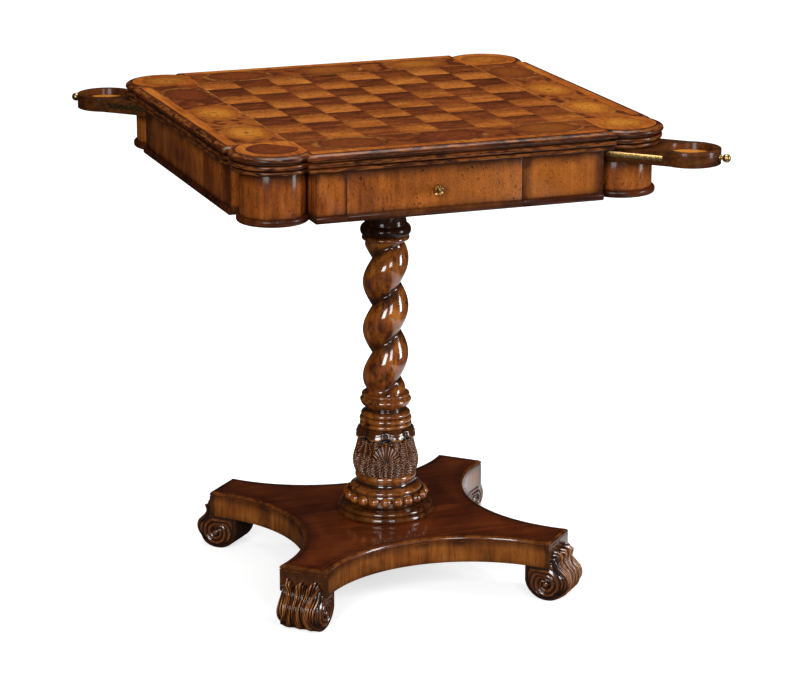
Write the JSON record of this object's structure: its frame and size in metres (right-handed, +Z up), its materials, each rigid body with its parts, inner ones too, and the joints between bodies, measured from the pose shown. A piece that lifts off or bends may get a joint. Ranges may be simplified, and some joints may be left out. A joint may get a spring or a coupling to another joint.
{
  "type": "chess table",
  "caption": "Square games table with inlaid chessboard, drawers in the frieze, pull-out cup slides, barley-twist column and four-armed platform on scroll feet.",
  "frame": {"origin": "on the floor under the column, the middle of the box around the table at rest", "axes": "+X to the right along the front edge, +Y to the back, +Z up out of the playing surface"},
  "size_m": [0.7924, 0.7924, 0.762],
  "materials": {
    "light_veneer": "satin lacquer",
    "dark_veneer": "satin lacquer",
    "pale_line": "satin lacquer",
    "oyster_veneer": "satin lacquer",
    "crossband_veneer": "satin lacquer",
    "dark_moulding": "polished",
    "frieze_walnut": "satin lacquer",
    "ground_wood": "plain planed",
    "brass": "aged",
    "slide_wood": "polished",
    "cup_veneer": "polished",
    "column_walnut": "polished",
    "carved_walnut": "polished, rubbed on the ridges",
    "platform_walnut": "polished",
    "steel": "plain"
  },
  "bodies": {
    "table": {"back_rails": "frieze_walnut", "base_ring": "column_walnut", "board_stringing": "pale_line", "carved_vase": "carved_walnut", "closing_board": "ground_wood", "column_capital": "column_walnut", "corner_oysters": "oyster_veneer", "cross_bearer": "ground_wood", "crossbanding": "crossband_veneer", "dark_squares": "dark_veneer", "drawer_partitions": "ground_wood", "drawer_runners": "ground_wood", "edge_nosing": "dark_moulding", "far_left_foot": "carved_walnut", "far_left_post": "frieze_walnut", "far_right_foot": "carved_walnut", "far_right_post": "frieze_walnut", "foot_dowels": "ground_wood", "frieze_bead": "dark_moulding", "frieze_returns": "frieze_walnut", "front_rails": "frieze_walnut", "hollow_moulding": "column_walnut", "left_rail": "frieze_walnut", "light_squares": "light_veneer", "near_left_foot": "carved_walnut", "near_left_post": "frieze_walnut", "near_right_foot": "carved_walnut", "near_right_post": "frieze_walnut", "oyster_panels": "oyster_veneer", "pearl_ring": "column_walnut", "platform_core": "platform_walnut", "platform_top": "platform_walnut", "right_rail": "frieze_walnut", "slide_guides": "ground_wood", "tie_nuts": "steel", "tie_rod": "steel", "top_beads": "dark_moulding", "top_panel": "ground_wood", "turned_reel": "column_walnut", "twist_shaft": "column_walnut", "under_panel": "ground_wood"},
    "front_drawer": {"front_drawer_back": "ground_wood", "front_drawer_floor": "ground_wood", "front_drawer_front": "frieze_walnut", "front_drawer_knob": "brass", "front_drawer_sides": "ground_wood"},
    "back_drawer": {"back_drawer_back": "ground_wood", "back_drawer_floor": "ground_wood", "back_drawer_front": "frieze_walnut", "back_drawer_knob": "brass", "back_drawer_sides": "ground_wood"},
    "right_slide": {"right_slide_arm": "slide_wood", "right_slide_knob": "brass", "right_slide_liner": "cup_veneer", "right_slide_strips": "brass"},
    "left_slide": {"left_slide_arm": "slide_wood", "left_slide_knob": "brass", "left_slide_liner": "cup_veneer", "left_slide_strips": "brass"}
  },
  "joints": [
    {"name": "front_drawer_pull", "type": "slide", "parent": "table", "child": "front_drawer", "axis": [0, -1, 0], "range_m": [0, 0.2]},
    {"name": "back_drawer_pull", "type": "slide", "parent": "table", "child": "back_drawer", "axis": [0, 1, 0], "range_m": [0, 0.2]},
    {"name": "right_slide_pull", "type": "slide", "parent": "table", "child": "right_slide", "axis": [0.7071, -0.7071, 0], "range_m": [-0.11, 0]},
    {"name": "left_slide_pull", "type": "slide", "parent": "table", "child": "left_slide", "axis": [-0.7071, 0.7071, 0], "range_m": [-0.11, 0]}
  ]
}
